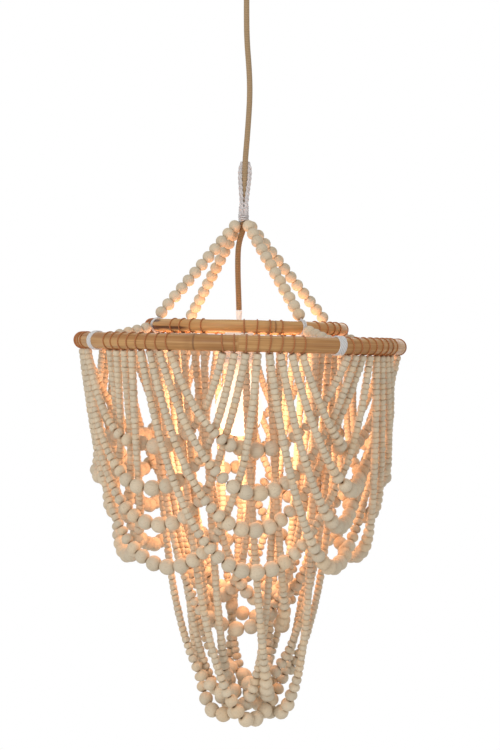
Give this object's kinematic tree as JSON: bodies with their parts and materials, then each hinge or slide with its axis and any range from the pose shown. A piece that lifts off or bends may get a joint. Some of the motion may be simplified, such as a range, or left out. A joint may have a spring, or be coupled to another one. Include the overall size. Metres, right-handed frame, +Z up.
{
  "type": "beaded chandelier",
  "caption": "Round boho chandelier: nested garlands of graduated wooden beads hang in tiers from bamboo hoops round a single bulb, on a fabric cord.",
  "frame": {"origin": "middle of the ceiling rose's face against the ceiling, where the crossbar's top face lies", "axes": "+Z up into the ceiling, -Y towards the front that the picture shows, +X to the viewer's right"},
  "size_m": [0.4112, 0.4118, 0.9633],
  "materials": {
    "bead_wood": "unpolished turned wood with a pale grey wash",
    "bamboo": "natural bamboo skin, half gloss, with nodes",
    "white_cord": "soft off-white cotton cord",
    "cord_fabric": "woven tan cover over a round cord",
    "rose_steel": "off-white satin paint",
    "zinc_steel": "zinc plate",
    "brass": "satin brass",
    "white_plastic": "smooth white",
    "bulb_glass": "warm frosted bulb glass"
  },
  "bodies": {
    "ceiling": {"ceiling_crossbar": "zinc_steel", "ceiling_rose": "rose_steel", "rose_stud_left": "zinc_steel", "rose_stud_right": "zinc_steel", "cap_nut_left": "brass", "cap_nut_right": "brass", "cord_grip": "white_plastic", "grip_nut": "white_plastic", "terminal_block": "white_plastic", "inner_cord_tail": "cord_fabric"},
    "cord": {"supply_cord": "cord_fabric", "crown_rope": "white_cord"},
    "frame": {"inner_hoop": "bamboo", "outer_hoop": "bamboo", "inner_tie_1": "white_cord", "inner_tie_2": "white_cord", "inner_tie_3": "white_cord", "inner_tie_4": "white_cord", "outer_tie_1": "white_cord", "outer_tie_2": "white_cord", "outer_tie_3": "white_cord", "outer_tie_4": "white_cord", "suspension_strand_1": "bead_wood", "suspension_strand_2": "bead_wood", "suspension_strand_3": "bead_wood", "suspension_strand_4": "bead_wood", "spoke_strand_1": "bead_wood", "spoke_strand_2": "bead_wood", "spoke_strand_3": "bead_wood", "spoke_strand_4": "bead_wood", "outer_garland_1": "bead_wood", "outer_garland_2": "bead_wood", "outer_garland_3": "bead_wood", "outer_garland_4": "bead_wood", "outer_garland_5": "bead_wood", "outer_garland_6": "bead_wood", "outer_garland_7": "bead_wood", "outer_garland_8": "bead_wood", "lower_garland_1": "bead_wood", "lower_garland_2": "bead_wood", "lower_garland_3": "bead_wood", "lower_garland_4": "bead_wood", "lower_garland_5": "bead_wood", "lower_garland_6": "bead_wood", "lower_garland_7": "bead_wood", "lower_garland_8": "bead_wood"},
    "lamp": {"lamp_lead": "cord_fabric", "lead_sleeve": "white_plastic", "holder_cap": "white_plastic", "holder_body": "white_plastic", "holder_ring": "white_plastic", "contact_insert": "white_plastic", "screw_shell": "brass"},
    "bulb": {"bulb_cap": "zinc_steel", "bulb_glass": "bulb_glass"}
  },
  "joints": [
    {"name": "cord_swing", "type": "hinge", "parent": "ceiling", "child": "cord", "pos_m": [0, 0, -0.0533], "axis": [0, 1, 0], "range_deg": [-12, 12]},
    {"name": "frame_sway", "type": "hinge", "parent": "cord", "child": "frame", "pos_m": [-0.004, 0, -0.337], "axis": [1, 0, 0], "range_deg": [-5, 5]},
    {"name": "lamp_swing", "type": "hinge", "parent": "cord", "child": "lamp", "pos_m": [-0.004, 0, -0.337], "axis": [0, 1, 0], "range_deg": [-4, 4]},
    {"name": "bulb_unscrew", "type": "slide", "parent": "lamp", "child": "bulb", "axis": [0, 0, -1], "range_m": [0, 0.027]}
  ]
}
